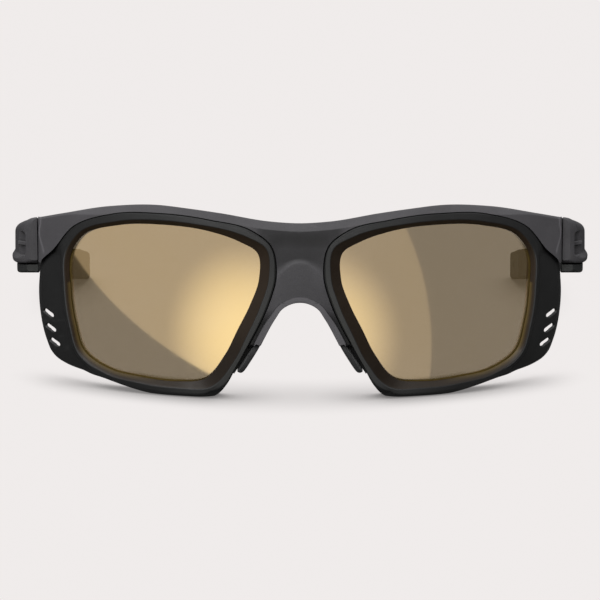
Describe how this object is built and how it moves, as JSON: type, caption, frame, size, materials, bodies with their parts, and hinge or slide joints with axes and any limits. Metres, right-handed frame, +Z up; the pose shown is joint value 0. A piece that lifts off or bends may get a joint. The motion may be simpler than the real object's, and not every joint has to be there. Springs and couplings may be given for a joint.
{
  "type": "glacier glasses",
  "caption": "Wrapped glacier glasses with gold mirror lenses in vented rim modules, rubber nose pads and folding temples with rubber tips.",
  "frame": {"origin": "middle of the overall width and depth, on the plane that the open glasses rest on", "axes": "+Z up, the lenses face -Y, +X towards the wearer's left"},
  "size_m": [0.1484, 0.1513, 0.0491],
  "materials": {
    "matte_grey": "fine-grained matte nylon",
    "rim_black": "satin black nylon",
    "cover_black": "matte dark nylon",
    "gold_mirror": "gold mirror coating on an amber lens",
    "dark_rubber": "soft matte rubber",
    "steel": "plain stainless steel",
    "brass": "machined brass",
    "nylon": "natural nylon"
  },
  "bodies": {
    "front": {"front_frame": "matte_grey", "nose_pad_right": "dark_rubber", "nose_pad_left": "dark_rubber", "hinge_screw_right": "steel", "hinge_screw_left": "steel", "hinge_insert_right": "brass", "hinge_insert_left": "brass"},
    "temple_arm_right": {"temple_right": "matte_grey", "hinge_cover_right": "cover_black", "temple_tip_right": "dark_rubber", "temple_core_right": "steel", "hinge_bush_right": "nylon"},
    "temple_arm_left": {"temple_left": "matte_grey", "hinge_cover_left": "cover_black", "temple_tip_left": "dark_rubber", "temple_core_left": "steel", "hinge_bush_left": "nylon"},
    "rim_module_right": {"rim_shield_right": "rim_black", "lens_right": "gold_mirror"},
    "rim_module_left": {"rim_shield_left": "rim_black", "lens_left": "gold_mirror"}
  },
  "joints": [
    {"name": "temple_right_fold", "type": "hinge", "parent": "front", "child": "temple_arm_right", "pos_m": [-0.06425, -0.04134, 0.0358], "axis": [0, 0, -1], "range_deg": [0, 90]},
    {"name": "temple_left_fold", "type": "hinge", "parent": "front", "child": "temple_arm_left", "pos_m": [0.06425, -0.04134, 0.0358], "axis": [0, 0, 1], "range_deg": [0, 84]},
    {"name": "rim_right_release", "type": "slide", "parent": "front", "child": "rim_module_right", "axis": [0, -1, 0], "range_m": [0, 0.03]},
    {"name": "rim_left_release", "type": "slide", "parent": "front", "child": "rim_module_left", "axis": [0, -1, 0], "range_m": [0, 0.03]}
  ]
}
